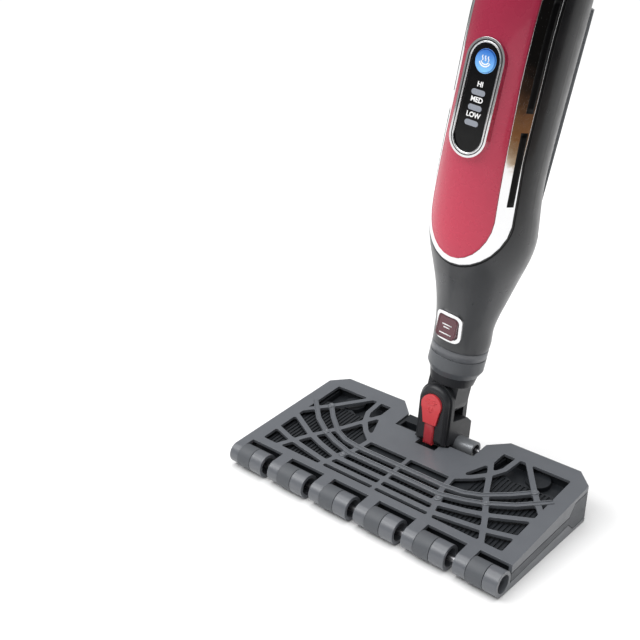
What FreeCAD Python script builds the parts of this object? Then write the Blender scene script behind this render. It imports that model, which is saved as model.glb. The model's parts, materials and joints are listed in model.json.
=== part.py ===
import FreeCAD, Part
import math
import os

# Steam mop: a double-sided floor head, a two-axis neck and an upright body.
# Millimetres. +Z is up and z = 0 is the floor. The origin is under the middle of the head.
# -Y is the front (hinge knuckles and control panel), +X is the user's left.

# ---- driving dimensions -------------------------------------------------------------
HEAD_W = 292.0
HALF = HEAD_W / 2
SLOT_Y = -68.8              # back edge of the knuckle slots
SLOT_Z = 22.8               # height of the upper frame's top face at that edge
TILT = 6.2                  # the upper frame rises towards the back, degrees
DEPTH = 137.6               # slot line to back edge, along the upper frame
SHEET = 3.0                 # wall of both frames
SEAM = 0.8                  # gap between the frames and the core
HINGE_Y = -80.5
HINGE_Z = 11.4
PIN_R = 2.5
RING_R = 11.0
TAB_R = 10.1
SLOT_PITCH = 50.6
FIRST_SLOT = -136.0
RUN = 0.08                  # radial running clearance
NOTCH_X = 44.0
NOTCH_V = 100.0             # notch front edge, measured along the frame
BEARING_X = -19.4           # inner face of the block that carries the left trunnion
BARREL_Y = 46.5
BARREL_Z = 30.0
BARREL_R = 8.0
BARREL_END = 37.0           # right end; the left end is flush with the neck
TRUNNION_R = 2.0
NECK_PITCH = 4.5            # the neck leans back at rest
EAR_R = 17.5
ROLL_Z = 42.8               # roll axis above the barrel axis
ROLL_PIN_R = 3.5
BODY_ROLL = 7.5             # the body leans to +X at rest
COLLAR_R = 26.0
COLLAR_Z0 = 28.0
COLLAR_Z1 = 56.0
WALL = 2.4
PANEL_APEX = 150.0          # lowest point of the coloured front panel
PANEL_HALF = 30.2           # the panel and its trim narrow a little towards the top
PANEL_HALF_TOP = 27.0
TRIM_HALF = 39.4
TRIM_HALF_TOP = 37.5
TRIM_TOP = 372.0
BODY_TOP = 416.0
TANK_Z0 = 172.0
TANK_Z1 = 392.0
TANK_TOP = 356.0            # the room above it takes the cap and the fingers
TANK_Y = 6.0                # front wall of the tank recess
TUBE_R = 14.0
TUBE_Z0 = 392.0
TUBE_Z1 = 985.0
GRIP_TOP = 1112.0

# outer sections of the body: height, half width, half depth, centre
SECTIONS = [
    (56.5, 25.8, 25.8, -0.5),
    (75.0, 26.3, 26.3, -2.2),
    (90.0, 28.0, 28.8, -3.0),
    (110.0, 32.4, 34.2, -3.4),
    (130.0, 37.6, 39.9, -5.7),
    (150.0, 43.0, 45.7, -8.4),
    (166.0, 45.3, 48.2, -10.8),
    (182.0, 45.1, 47.8, -14.0),
    (205.0, 43.5, 46.6, -18.3),
    (240.0, 42.8, 46.0, -21.2),
    (290.0, 43.0, 46.0, -22.3),
    (362.0, 43.0, 46.0, -22.3),
    (392.0, 40.0, 42.0, -20.0),
    (BODY_TOP, 31.0, 31.0, -12.0),
]

V = FreeCAD.Vector
X_AXIS = V(1, 0, 0)
Y_AXIS = V(0, 1, 0)
Z_AXIS = V(0, 0, 1)


# ---- small shape helpers ------------------------------------------------------------
def box(x0, x1, y0, y1, z0, z1):
    return Part.makeBox(x1 - x0, y1 - y0, z1 - z0, V(x0, y0, z0))


def cyl_x(r, x0, x1, y, z):
    return Part.makeCylinder(r, x1 - x0, V(x0, y, z), X_AXIS)


def cyl_y(r, y0, y1, x, z):
    return Part.makeCylinder(r, y1 - y0, V(x, y0, z), Y_AXIS)


def cyl_z(r, z0, z1, x=0.0, y=0.0):
    return Part.makeCylinder(r, z1 - z0, V(x, y, z0), Z_AXIS)


def prism(points, direction):
    wire = Part.makePolygon(points + [points[0]])
    return Part.Face(wire).extrude(direction)


def plan_prism(points, z0, z1):
    return prism([V(x, y, z0) for x, y in points], V(0, 0, z1 - z0))


def side_prism(points, x0, x1):
    return prism([V(x0, y, z) for y, z in points], V(x1 - x0, 0, 0))


def front_prism(points, y0, y1):
    return prism([V(x, y0, z) for x, z in points], V(0, y1 - y0, 0))


def fuse(shapes):
    whole = shapes[0]
    if len(shapes) > 1:
        whole = whole.multiFuse(shapes[1:])
    return whole.removeSplitter()


def cut(shape, tools):
    return shape.cut(Part.makeCompound(tools))


def both_sides(shape):
    return [shape, shape.mirror(V(0, 0, 0), X_AXIS)]


def ellipse_wire(z, a, b, y):
    if a >= b:
        edge = Part.Ellipse(V(0, y, z), a, b).toShape()
    else:
        edge = Part.Ellipse(V(0, y + b, z), V(a, y, z), V(0, y, z)).toShape()
    return Part.Wire(edge)


def body_loft(grow, z0=None, z1=None):
    """The body's outer form, grown by an offset (negative shrinks it)."""
    wires = [ellipse_wire(z, a + grow, b + grow, y) for z, a, b, y in SECTIONS]
    form = Part.makeLoft(wires, True, False)
    if z0 is not None:
        form = form.common(box(-80, 80, -110, 80, z0, z1))
    return form


def bar(p, q, r):
    d = V(*q) - V(*p)
    return Part.makeCylinder(r, d.Length, V(*p), d)


def hose(points, r, bore=0.0):
    """A hose through the given points, with round joints."""
    outer = [bar(p, q, r) for p, q in zip(points[:-1], points[1:])]
    outer += [Part.makeSphere(r, V(*p)) for p in points[1:-1]]
    shape = fuse(outer)
    if bore > 0:
        inner = [bar(p, q, bore) for p, q in zip(points[:-1], points[1:])]
        inner += [Part.makeSphere(bore, V(*p)) for p in points[1:-1]]
        shape = shape.cut(fuse(inner))
    return shape


def coil(r, wire_r, z0, z1, turns):
    """A compression spring along +Z, as a stack of rings."""
    step = (z1 - z0 - 2 * wire_r) / (turns - 1)
    rings = []
    for i in range(turns):
        rings.append(Part.makeTorus(r, wire_r, V(0, 0, z0 + wire_r + i * step), Z_AXIS))
    rungs = [cyl_z(wire_r * 0.8, z0 + wire_r, z1 - wire_r, r * s, 0) for s in (-1, 1)]
    return fuse(rings + rungs)


def stadium(half_w, half_h, y0, y1, z):
    """An upright slot shape in the XZ plane, between y0 and y1."""
    lift = half_h - half_w
    parts = [cyl_y(half_w, y0, y1, 0, z + lift), cyl_y(half_w, y0, y1, 0, z - lift)]
    parts.append(box(-half_w, half_w, y0, y1, z - lift, z + lift))
    return fuse(parts)


def rounded_box(x0, x1, y0, y1, z0, z1, r, axis):
    shape = box(x0, x1, y0, y1, z0, z1)
    edges = []
    for e in shape.Edges:
        d = e.Vertexes[1].Point - e.Vertexes[0].Point
        if abs(abs(d.dot(axis)) - d.Length) < 1e-6:
            edges.append(e)
    return shape.makeFillet(r, edges)


# ---- placements ---------------------------------------------------------------------
ON_FRAME = FreeCAD.Placement(V(0, SLOT_Y, SLOT_Z), FreeCAD.Rotation(X_AXIS, TILT))
ON_NECK = FreeCAD.Placement(V(0, BARREL_Y, BARREL_Z), FreeCAD.Rotation(X_AXIS, -NECK_PITCH))
ROLL = FreeCAD.Placement(V(0, 0, ROLL_Z), FreeCAD.Rotation(Y_AXIS, BODY_ROLL))
ON_BODY = ON_NECK.multiply(ROLL)


def placed(shape, placement):
    moved = shape.copy()
    moved.transformShape(placement.toMatrix())
    return moved


parts = {}


def head_part(name, shape):
    parts[name] = shape


def neck_part(name, shape):
    parts[name] = placed(shape, ON_NECK)


def body_part(name, shape):
    parts[name] = placed(shape, ON_BODY)


# ---- the openwork pattern of the frames ---------------------------------------------
# Drawn on the frame's own plane: x across, v from the slot line towards the back.
RIB = 5.0
CELL_R = 1.8                # corner radius of the openings
OUTLINE = [
    (-HALF, 0), (-HALF, 123), (-131, DEPTH), (-60.5, DEPTH), (-NOTCH_X, 122),
    (-NOTCH_X, NOTCH_V), (NOTCH_X, NOTCH_V), (NOTCH_X, 122), (60.5, DEPTH),
    (131, DEPTH), (HALF, 123), (HALF, 0),
]
WINDOW = [
    (2.0, 8.5), (131, 8.5), (131, 120), (64, 120), (64, 105),
    (47, 63), (2.0, 63),
]
# curved ribs of the web, from the middle outwards
WEB = [
    [(0, 15), (61, 15), (80, 18), (110, 23), (133, 30)],
    [(0, 26), (53, 26), (80, 33), (100, 40), (133, 57)],
    [(0, 38), (50, 38), (72, 44), (89, 51), (110, 64), (133, 86)],
    [(0, 49.5), (48, 49.5), (66, 52), (80, 58), (100, 74), (114, 88)],
    [(61, 6), (57, 20), (53, 32), (48.5, 44), (46, 66)],
    [(113, 6), (100, 32), (89, 51), (80, 66), (70, 87), (61, 104)],
    [(133, 66), (114, 88), (88, 122)],
    [(46, 64), (60, 75), (70, 86), (77, 100), (79, 122)],
]
BOSSES = [(89, 51), (114, 88), (53, 32)]


def rib(points, width, z0, z1):
    """A flat rib of constant width with round corners."""
    pieces = []
    for (x0, y0), (x1, y1) in zip(points[:-1], points[1:]):
        length = math.hypot(x1 - x0, y1 - y0)
        nx = (y0 - y1) / length * width / 2
        ny = (x1 - x0) / length * width / 2
        corners = [(x0 + nx, y0 + ny), (x1 + nx, y1 + ny), (x1 - nx, y1 - ny), (x0 - nx, y0 - ny)]
        pieces.append(plan_prism(corners, z0, z1))
    pieces += [cyl_z(width / 2, z0, z1, x, y) for x, y in points[1:-1]]
    return fuse(pieces)


def grown(face, distance, wider):
    """The face offset in its own plane, outwards or inwards; nothing if it does not exist."""
    for d in (distance, -distance):
        try:
            trial = face.makeOffset2D(d)
        except FreeCAD.Base.FreeCADError:
            continue
        if (trial.Area > face.Area) == wider:
            return trial
    return None


def rounded_cell(cell, z0, z1):
    """One opening of the web with its corners rounded; a cell too narrow for that stays sharp."""
    for face in cell.Faces:
        if abs(face.CenterOfMass.z - z0) < 1e-6:
            foot = Part.Face(face.OuterWire)
    for step in (False, True):
        foot = grown(foot, CELL_R, step)
        if foot is None:
            return cell
    foot.translate(V(0, 0, -1))
    return foot.extrude(V(0, 0, z1 - z0 + 2))


def openwork(z0, z1):
    """The plate of a frame with its web of ribs, between z0 and z1."""
    plate = plan_prism(OUTLINE, z0, z1)
    ribs = [rib(points, RIB, z0, z1) for points in WEB]
    bosses = [cyl_z(RIB * 0.8, z0, z1, x, y) for x, y in BOSSES]
    web = fuse(ribs + bosses).common(plan_prism(WINDOW, z0, z1))
    openings = []
    for cell in plan_prism(WINDOW, z0, z1).cut(web).Solids:
        openings += both_sides(rounded_cell(cell, z0, z1))
    return cut(plate, openings)


def slot_spans():
    """Left and right ends of the six knuckle slots."""
    spans = []
    for i in range(6):
        left = FIRST_SLOT + i * SLOT_PITCH
        spans.append((left, left + 38.2))
    spans[-1] = (spans[-1][0], HALF)
    return spans


def tab_spans():
    spans = slot_spans()
    tabs = [(-HALF, spans[0][0] - 0.3)]
    for (_, right), (left, _) in zip(spans[:-1], spans[1:]):
        tabs.append((right + 0.3, left - 0.3))
    return tabs


def ring_spans(which):
    """Ring A belongs to the core, ring B to the lower frame."""
    spans = []
    for left, right in slot_spans():
        if which == "A":
            spans.append((left + 0.5, left + 15.7))
        else:
            end = min(left + 30.4, HALF)
            spans.append((left + 16.3, end))
    return spans


# side seams in the YZ plane, front to back
UPPER_SEAM = [(-68.8, 15.1), (23, 19.3), (31, 29.0), (75, 32.6)]
MID_SEAM = [(-68.8, 10.5), (75, 16.6)]
LOWER_SEAM = [(-68.8, 7.0), (23, 12.0), (32, 3.9), (75, 3.9)]


def shifted(points, dz):
    return [(y, z + dz) for y, z in points]


def frame_area(inset, z0, z1):
    """The head's outline, set in from the sides and back, as a tall prism."""
    points = [
        (-HALF + inset, SLOT_Y + inset), (-HALF + inset, 53.6), (-131 + inset * 0.4, 68 - inset),
        (-60.5 - inset * 0.4, 68 - inset), (-NOTCH_X - inset, 52.5 - inset * 0.4),
        (-NOTCH_X - inset, 30.6 - inset), (NOTCH_X + inset, 30.6 - inset),
        (NOTCH_X + inset, 52.5 - inset * 0.4), (60.5 + inset * 0.4, 68 - inset),
        (131 - inset * 0.4, 68 - inset), (HALF - inset, 53.6), (HALF - inset, SLOT_Y + inset),
    ]
    return plan_prism(points, z0, z1)


def rim_ring(inner):
    """The border of the head at the sides and back; the front is left open."""
    front = box(-HALF + inner, HALF - inner, SLOT_Y - 1, 20, -6, 61)
    return cut(frame_area(0, -5, 60), [frame_area(inner, -6, 61), front])


# ---- floor head ---------------------------------------------------------------------
def side_skirts(inner, profile):
    """Side walls between the outline and the inner offset, within a side profile."""
    walls = rim_ring(inner).common(side_prism(profile, -HALF - 1, HALF + 1))
    sides = box(-HALF, -HALF + 20, SLOT_Y, 70, -5, 60)
    return [walls.common(s) for s in both_sides(sides)]


def build_upper_frame():
    plate = placed(openwork(-SHEET, 0), ON_FRAME)
    pieces = [plate]
    back_z = SLOT_Z + math.tan(math.radians(TILT)) * (75 - SLOT_Y)
    seam = shifted(UPPER_SEAM, SEAM / 2)
    profile = seam + [(75, back_z - 1.0), (SLOT_Y, SLOT_Z - 1.0)]
    pieces += side_skirts(SHEET, profile)
    for x0, x1 in tab_spans():
        pieces.append(cyl_x(TAB_R, x0, x1, HINGE_Y, HINGE_Z))
        drop = SLOT_Z - SHEET - HINGE_Z
        arm = [(HINGE_Y, HINGE_Z + drop - 2.6), (HINGE_Y, HINGE_Z + TAB_R), (SLOT_Y, SLOT_Z - 0.05),
               (SLOT_Y + 4, SLOT_Z + 0.38), (SLOT_Y + 4, SLOT_Z - SHEET + 0.38)]
        pieces.append(side_prism(arm, x0, x1))
    frame = fuse(pieces)
    tools = [cyl_x(PIN_R + RUN, -HALF - 1, HALF + 1, HINGE_Y, HINGE_Z)]
    # throat for the tip of the red lever, and relief over the bearing blocks
    throat = [(-19, NOTCH_V + 1), (-19, 97.0), (-11, 94.5), (-11, 86.5), (11, 86.5), (11, 94.5),
              (19, 97.0), (19, NOTCH_V + 1)]
    tools.append(placed(plan_prism(throat, -12, 5), ON_FRAME))
    relief = box(NOTCH_X - 1, NOTCH_X + 15, 104, 124, -6, -1.6)
    tools += [placed(shape, ON_FRAME) for shape in both_sides(relief)]
    return cut(frame, tools)


def build_lower_frame():
    flat = openwork(0, SHEET)
    flat.translate(V(0, SLOT_Y, 0))
    pieces = [flat]
    seam = shifted(LOWER_SEAM, -SEAM / 2)
    profile = seam + [(75, 0.5), (SLOT_Y, 0.5)]
    pieces += side_skirts(SHEET, profile)
    for x0, x1 in ring_spans("B"):
        pieces.append(cyl_x(RING_R, x0, x1, HINGE_Y, HINGE_Z))
        arm = [(HINGE_Y, 0.4), (SLOT_Y + 3, 0), (SLOT_Y + 3, SHEET), (SLOT_Y + 0.2, 6.0),
               (HINGE_Y + 5, 8.0)]
        pieces.append(side_prism(arm, x0, x1))
    frame = fuse(pieces)
    tools = [cyl_x(PIN_R + RUN, -HALF - 1, HALF + 1, HINGE_Y, HINGE_Z)]
    for x0, x1 in ring_spans("B"):
        tools.append(cyl_x(RING_R - 3.0, x1 - 9.0, x1 + 0.1, HINGE_Y, HINGE_Z))
    return cut(frame, tools)


def core_profile():
    """Side profile of the core's rim, between the two frames."""
    top = shifted(UPPER_SEAM, -SEAM / 2)
    low = shifted(LOWER_SEAM, SEAM / 2)
    return low + top[::-1]


def under_upper(depth):
    """Everything below a plane parallel to the upper frame's top face."""
    return placed(box(-200, 200, -60, 200, -80, -depth), ON_FRAME)


def core_rim():
    ring = rim_ring(SHEET + 0.6)
    sides = box(-HALF, -HALF + 20, SLOT_Y, 70, -5, 60)
    walls = []
    for side in both_sides(sides):
        walls.append(ring.common(side_prism(core_profile(), -HALF - 1, HALF + 1)).common(side))
    return walls


def core_block(deep):
    """The inside of the core; its top lies `deep` below the upper frame's top face."""
    block = frame_area(SHEET + 0.6, SHEET + 0.9, 60)
    return block.common(under_upper(deep)).common(box(-200, 200, SLOT_Y + 0.9, 90, -5, 60))


def wedge(points_low, points_high):
    return side_prism(points_low + points_high[::-1], -HALF - 2, HALF + 2)


def core_grooves():
    """Fine grooves along Y in the core's top face."""
    grooves = []
    count = 32
    for i in range(count):
        x = 8.0 + i * 4.0
        if x < NOTCH_X + 20:
            back = 58
        else:
            back = 96
        grooves.append(box(x - 0.9, x + 0.9, 6, back, -6.8, 0))
        grooves.append(box(-x - 0.9, -x + 0.9, 6, back, -6.8, 0))
    return [placed(shape, ON_FRAME) for shape in grooves]


def core_pockets():
    """Deeper pockets behind the grooved field, left and right."""
    zigzag = [(62, 98), (70, 95), (78, 100), (88, 95), (98, 100), (110, 95), (124, 99),
              (130, 96), (130, 122), (66, 122)]
    pocket = placed(plan_prism(zigzag, -11.5, 0), ON_FRAME)
    raised = placed(cyl_z(11, -14, -6.6, 104, 112), ON_FRAME)
    pocket = pocket.cut(raised)
    return both_sides(pocket)


def side_bearing():
    """The block that fills the notch beside the neck and carries the left trunnion."""
    block = box(-NOTCH_X - 2, BEARING_X, 31.4, 54, 14, 60).common(under_upper(1.8))
    recess = placed(box(-40.5, BEARING_X - 2.6, 103, 112, -10, 0), ON_FRAME)
    beside_plate = placed(box(-NOTCH_X - 3, -NOTCH_X + 0.5, 90, 140, -4.2, 0), ON_FRAME)
    return cut(block, [recess, beside_plate])


def build_core():
    rim = core_rim()
    whole = fuse(rim + [core_block(5.6)])
    blocks = []
    for shape in both_sides(box(NOTCH_X + 0.4, NOTCH_X + 13, 105, 122, -16, -2.0)):
        blocks.append(placed(shape, ON_FRAME))
    apron = box(-NOTCH_X + 0.6, NOTCH_X - 0.6, 26, 31.8, SHEET + 0.9, 60).common(under_upper(5.6))
    whole = fuse([whole, apron, side_bearing()] + blocks)
    hollow = frame_area(13, 6.2, 30).common(under_upper(12.0))
    hollow = hollow.common(box(-200, 200, SLOT_Y + 8, 24, 0, 60))
    tools = [cyl_x(TRUNNION_R, -NOTCH_X - 14, BEARING_X + 1, BARREL_Y, BARREL_Z),
             cyl_x(TRUNNION_R, NOTCH_X - 14, NOTCH_X + 14, BARREL_Y, BARREL_Z)]
    tools += core_grooves() + core_pockets() + [hollow]
    whole = cut(whole, tools)
    front_z, back_z = [z for _, z in MID_SEAM]
    lower_half = wedge([(SLOT_Y, -20), (75, -20)], [(SLOT_Y, front_z), (75, back_z)])
    lower = whole.common(lower_half)
    upper = whole.cut(lower_half)
    arms = []
    for x0, x1 in ring_spans("A"):
        arms.append(cyl_x(RING_R, x0, x1, HINGE_Y, HINGE_Z))
        profile = [(HINGE_Y, 5.6), (SLOT_Y + 6, 5.6), (SLOT_Y + 6, 8.5),
                   (SLOT_Y - 0.5, 9.5), (HINGE_Y, 15.0)]
        arms.append(side_prism(profile, x0, x1))
    lower = fuse([lower] + arms)
    lower = lower.cut(cyl_x(PIN_R + RUN, -HALF - 1, HALF + 1, HINGE_Y, HINGE_Z))
    return lower, upper


head_part("upper_frame", build_upper_frame())
head_part("lower_frame", build_lower_frame())
core_lower, core_upper = build_core()
head_part("core_lower", core_lower)
head_part("core_upper", core_upper)
head_part("front_hinge_pin", cyl_x(PIN_R, -HALF + 1.0, HALF - 10.0, HINGE_Y, HINGE_Z))

# steam channel inside the core: a cross tube with two branches
head_part("steam_channel", hose([(-100, -30, 10.6), (0, -18, 10.8), (100, -30, 10.6)], 2.6, 1.6))

trunnions = []
for x0, x1 in ((-NOTCH_X - 12, -9.0), (BARREL_END - 16, NOTCH_X + 12)):
    trunnions.append(cyl_x(TRUNNION_R, x0, x1, BARREL_Y, BARREL_Z))
head_part("pivot_trunnions", Part.makeCompound(trunnions))

# ---- neck ---------------------------------------------------------------------------
NECK_FRONT = -26.0
COVER_BACK = -18.0
GAP_FRONT = -13.5
GAP_BACK = 11.0
EAR_BACK = 17.5
BLOCK_BACK = 19.0
LEVER_Z = 40.3
LEVER_R = 10.6


def ear(r, y0, y1, foot):
    return fuse([cyl_y(r, y0, y1, 0, ROLL_Z), box(-r, r, y0, y1, foot, ROLL_Z)])


block_side = [(COVER_BACK, 2.5), (-11, 2.5), (-8, -5), (BLOCK_BACK, -5), (BLOCK_BACK, 17),
              (GAP_BACK, 23), (GAP_FRONT, 26), (COVER_BACK, 26)]
fork = fuse([
    ear(EAR_R, COVER_BACK, GAP_FRONT, 10),
    side_prism(block_side, -EAR_R, EAR_R),
    ear(12.0, GAP_BACK, EAR_BACK, 15),
    cyl_x(10.8, -EAR_R, EAR_R, 0, 0),
])
fork = cut(fork, [
    cyl_x(BARREL_R, -EAR_R - 1, EAR_R + 1, 0, 0),
    cyl_y(ROLL_PIN_R, COVER_BACK - 1, EAR_BACK + 1, 0, ROLL_Z),
    cyl_z(5.0, 0, 40, 0, 0),
])
neck_part("neck_fork", fork)

cover = ear(16.0, NECK_FRONT + 1.5, COVER_BACK, 2.5)
front_edges = []
for e in cover.Edges:
    if all(abs(v.Point.y - (NECK_FRONT + 1.5)) < 1e-6 for v in e.Vertexes):
        front_edges.append(e)
cover = cover.makeFillet(4.5, front_edges)
lever_room = fuse([
    cyl_y(LEVER_R + 0.4, NECK_FRONT - 1, -20.5, 0, LEVER_Z),
    front_prism([(-LEVER_R + 0.6, LEVER_Z - 4), (LEVER_R - 0.6, LEVER_Z - 4), (7.2, 21.5),
                 (5.4, 21.0), (5.4, 0), (-5.4, 0), (-5.4, 21.0), (-7.2, 21.5)], NECK_FRONT - 1, -20.5),
])
cover = cut(cover, [lever_room, cyl_y(ROLL_PIN_R + 2.5, -20.6, COVER_BACK + 1, 0, ROLL_Z)])
neck_part("neck_cover", cover)

lever = fuse([
    cyl_y(LEVER_R, NECK_FRONT - 0.6, -22.4, 0, LEVER_Z),
    front_prism([(-LEVER_R + 1.0, LEVER_Z - 4), (LEVER_R - 1.0, LEVER_Z - 4), (6.8, 21.8),
                 (-6.8, 21.8)], NECK_FRONT - 0.6, -22.4),
    box(-5.0, 5.0, NECK_FRONT + 0.6, -22.4, 1.4, 22.5),
])
neck_part("red_lever", lever)
spring = coil(2.6, 0.45, 0, 1.7, 2)
spring.rotate(V(0, 0, 0), X_AXIS, -90)
spring.translate(V(0, -22.3, LEVER_Z - 6))
neck_part("lever_spring", spring)
pivot_bar = cyl_x(0.6, -4.6, 4.6, -21.6, 12.0)
neck_part("lever_pin", pivot_bar)

barrel = cyl_x(BARREL_R, -EAR_R, BARREL_END, 0, 0)
barrel = cut(barrel, [
    cyl_x(5.6, BARREL_END - 9, BARREL_END + 1, 0, 0),
    cyl_x(TRUNNION_R + RUN, -EAR_R - 1, -8.5, 0, 0),
    cyl_x(TRUNNION_R + RUN, BARREL_END - 18, BARREL_END + 1, 0, 0),
    cyl_x(4.0, -6.0, EAR_R, 0, 0),
    cyl_z(4.0, 0, 12, 0, 0),
])
neck_part("barrel", barrel)

roll_pin = fuse([
    cyl_y(ROLL_PIN_R, COVER_BACK + 0.2, EAR_BACK + 0.5, 0, ROLL_Z),
    cyl_y(ROLL_PIN_R + 2.2, COVER_BACK - 2.3, COVER_BACK, 0, ROLL_Z),
    cyl_y(ROLL_PIN_R, COVER_BACK - 0.5, COVER_BACK + 0.5, 0, ROLL_Z),
])
neck_part("roll_pin", roll_pin)
clip = cyl_y(ROLL_PIN_R + 2.6, EAR_BACK + 0.5, EAR_BACK + 1.7, 0, ROLL_Z)
neck_part("roll_pin_clip", clip)
neck_part("neck_hose", hose([(0, 0, 3.0), (0, 0, 25.0)], 3.4, 2.2))
screws = []
for x, z in ((-13.3, 8), (13.3, 8), (-13.3, 36), (13.3, 36)):
    screws.append(cyl_y(1.2, COVER_BACK - 3.0, COVER_BACK + 3.0, x, z))
neck_part("neck_screws", Part.makeCompound(screws))
for name in ("neck_cover", "neck_fork"):
    parts[name] = parts[name].cut(parts["neck_screws"])

# ---- swivel: tongue, cone and collar --------------------------------------------------
CONE_Z = 19.0
TONGUE_R = 16.0
tongue = fuse([
    cyl_y(TONGUE_R, GAP_FRONT + 0.4, GAP_BACK - 0.4, 0, 0),
    box(-TONGUE_R, TONGUE_R, GAP_FRONT + 0.4, GAP_BACK - 0.4, 0, CONE_Z + 1),
    Part.makeCone(20.6, 22.4, COLLAR_Z0 - CONE_Z, V(0, 0, CONE_Z), Z_AXIS),
    cyl_z(19.6, COLLAR_Z0, 48),
])
tongue = cut(tongue, [
    cyl_y(ROLL_PIN_R + RUN, GAP_FRONT - 1, GAP_BACK + 1, 0, 0),
    cyl_z(4.0, ROLL_PIN_R + 3, 60),
    cyl_z(15.5, 38, 60),
])
body_part("tongue_cone", tongue)

collar = fuse([
    Part.makeCone(22.6, COLLAR_R, 6.5, V(0, 0, COLLAR_Z0 + 0.2), Z_AXIS),
    cyl_z(COLLAR_R, COLLAR_Z0 + 6.7, COLLAR_Z1 - 9),
    cyl_z(COLLAR_R - 0.6, COLLAR_Z1 - 9, COLLAR_Z1),
])
collar = cut(collar, [
    cyl_z(19.65, COLLAR_Z0, 48.2),
    cyl_z(22.0, 48.2, COLLAR_Z1 + 1),
])
body_part("collar", collar)
nipple = cut(fuse([cyl_z(6.0, 26, 62), cyl_z(9.0, 38.2, 41)]), [cyl_z(3.4, 25, 63)])
nipple = nipple.cut(cyl_z(40, 20, 38.1))
body_part("steam_nipple", nipple)

# ---- body shell, trim and front panel ---------------------------------------------------
def u_prism(half, half_top, apex, shoulder, taper, top):
    """A tall prism with a rounded lower end; it narrows from the shoulder up to the taper height."""
    points = [(-half_top, top), (-half_top, taper), (-half, shoulder)]
    steps = 14
    for i in range(1, steps):
        t = math.pi * (1 + i / steps)
        points.append((half * math.cos(t), shoulder + (shoulder - apex) * math.sin(t)))
    points += [(half, shoulder), (half_top, taper), (half_top, top)]
    return front_prism(points, -90, -24)


form = body_loft(0)
core_form = body_loft(-WALL)
skin = form.cut(core_form)
TRIM_SHOULDER = 187.0
TRIM_TAPER = 240.0
PANEL_SHOULDER = 190.0
PANEL_TAPER = 300.0
trim_cut = u_prism(TRIM_HALF, TRIM_HALF_TOP, PANEL_APEX - 6, TRIM_SHOULDER, TRIM_TAPER, TRIM_TOP + 3)
panel_cut = u_prism(PANEL_HALF, PANEL_HALF_TOP, PANEL_APEX, PANEL_SHOULDER, PANEL_TAPER, TRIM_TOP)
tank_cut = box(-70, 70, TANK_Y, 80, TANK_Z0, TANK_Z1)
floor_ring = form.common(box(-80, 80, -80, 80, COLLAR_Z1 + 0.4, COLLAR_Z1 + 4.4))
socket = cyl_z(13.0, COLLAR_Z1 + 0.4, COLLAR_Z1 + 14)
shell = fuse([skin, floor_ring, socket])
back_wall = form.common(box(-70, 70, TANK_Y - WALL, TANK_Y, TANK_Z0 - 2, TANK_Z1 + 2))
tank_floor = form.common(box(-70, 70, TANK_Y - WALL, 80, TANK_Z0 - WALL, TANK_Z0))
tank_roof = form.common(box(-70, 70, TANK_Y - WALL, 80, TANK_Z1, TANK_Z1 + WALL))
crown = form.common(box(-80, 80, -80, 80, BODY_TOP - 4, BODY_TOP))
shell = fuse([cut(shell, [tank_cut]), back_wall, tank_floor, tank_roof, crown])
RELEASE_Z = 79.0
GLAND_Z = 403.5
release_hole = rounded_box(-10.9, 10.9, -60, -14, RELEASE_Z - 11.4, RELEASE_Z + 11.4, 5.0, Y_AXIS)
shell = cut(shell, [
    trim_cut,
    cyl_z(6.3, COLLAR_Z1 - 2, COLLAR_Z1 + 20),
    cyl_z(TUBE_R + 0.0, TUBE_Z0, BODY_TOP + 5, 0, -12),
    release_hole,
    cyl_z(6.0, TANK_Z0 - 10, TANK_Z0 + 1, 0, 18),
    cyl_y(6.0, 0, 40, 0, GLAND_Z),
])
# three mouldings: below the tank, beside it and above it
body_part("shell_base", shell.common(box(-80, 80, -110, 80, 0, TANK_Z0)))
body_part("shell_front", shell.common(box(-80, 80, -110, 80, TANK_Z0, TANK_Z1)))
body_part("shell_crown", shell.common(box(-80, 80, -110, 80, TANK_Z1, BODY_TOP + 1)))

trim_ring = body_loft(0.2, 120, TRIM_TOP + 2.4).cut(body_loft(-2.2))
trim = trim_ring.common(u_prism(TRIM_HALF - 0.25, TRIM_HALF_TOP - 0.25, PANEL_APEX - 5.7, TRIM_SHOULDER,
                                TRIM_TAPER, TRIM_TOP + 2.4))
trim = trim.cut(panel_cut)
body_part("chrome_trim", trim)

front = body_loft(0.8, 130, TRIM_TOP - 0.3).cut(body_loft(-1.8))
front = front.common(u_prism(PANEL_HALF - 0.25, PANEL_HALF_TOP - 0.25, PANEL_APEX + 0.3, PANEL_SHOULDER,
                             PANEL_TAPER, TRIM_TOP - 0.3))
CONTROL_Z = 282.5
CONTROL_HALF_W = 16.8
CONTROL_HALF_H = 45.6
BEZEL_W = 4.1
FRONT_Y = -68.3
bezel_hole = stadium(CONTROL_HALF_W - 2.0, CONTROL_HALF_H - 2.0, -90, -40, CONTROL_Z)
front = front.cut(bezel_hole)
body_part("front_panel", front)

bezel = stadium(CONTROL_HALF_W, CONTROL_HALF_H, FRONT_Y - 3.2, FRONT_Y + 6, CONTROL_Z)
bezel = bezel.cut(stadium(CONTROL_HALF_W - BEZEL_W, CONTROL_HALF_H - BEZEL_W, -90, -40, CONTROL_Z))
bezel = bezel.cut(body_loft(0.85).cut(bezel_hole))
bezel = bezel.cut(body_loft(-2.6))
body_part("control_bezel", bezel)

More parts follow.
